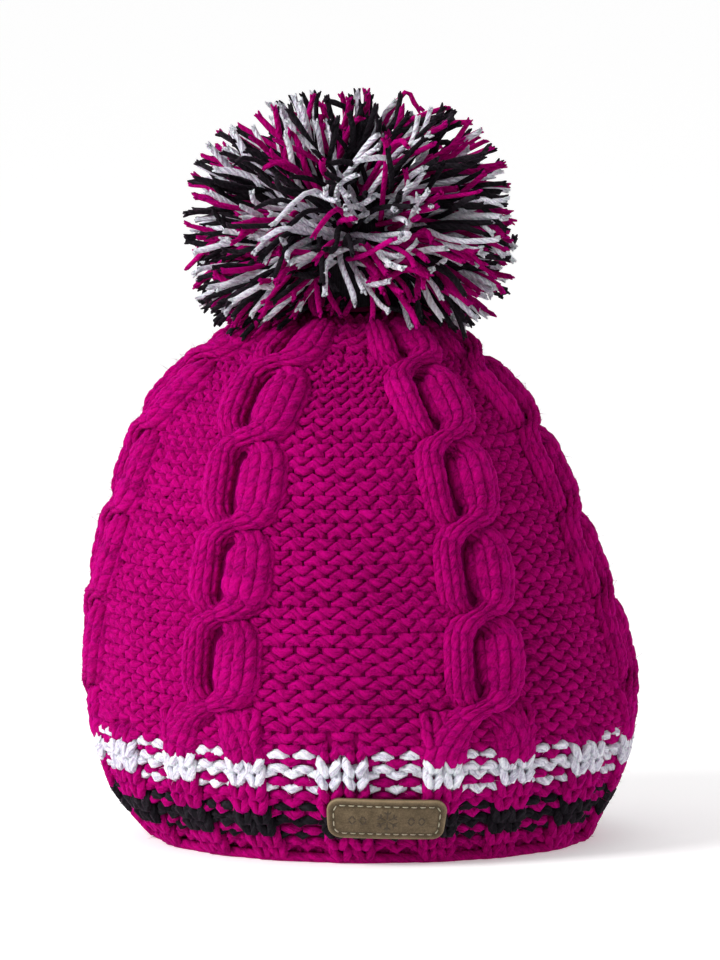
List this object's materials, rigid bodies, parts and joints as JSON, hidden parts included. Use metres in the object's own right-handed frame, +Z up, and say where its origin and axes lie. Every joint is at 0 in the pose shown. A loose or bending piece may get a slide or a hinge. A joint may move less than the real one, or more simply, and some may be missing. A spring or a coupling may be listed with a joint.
{
  "type": "bobble hat",
  "caption": "Cable-knit beanie with a striped ribbed brim, a small leather label and a cut-yarn pompom.",
  "frame": {"origin": "on the surface that the hem stands on, below the middle of the hat's outline", "axes": "+Z up through the pompom, the label and the front of the hat face -Y, +X is to the right of someone who looks at the front"},
  "size_m": [0.1982, 0.1968, 0.257],
  "materials": {
    "yarn_magenta": "matte",
    "yarn_white": "matte",
    "yarn_black": "matte",
    "yarn_mixed": "matte",
    "leather": "satin"
  },
  "bodies": {
    "root": {"crown": "yarn_magenta", "stripe_white": "yarn_white", "band_upper": "yarn_magenta", "stripe_black": "yarn_black", "hem_band": "yarn_magenta", "label": "leather", "pompom": "yarn_mixed"}
  },
  "joints": []
}
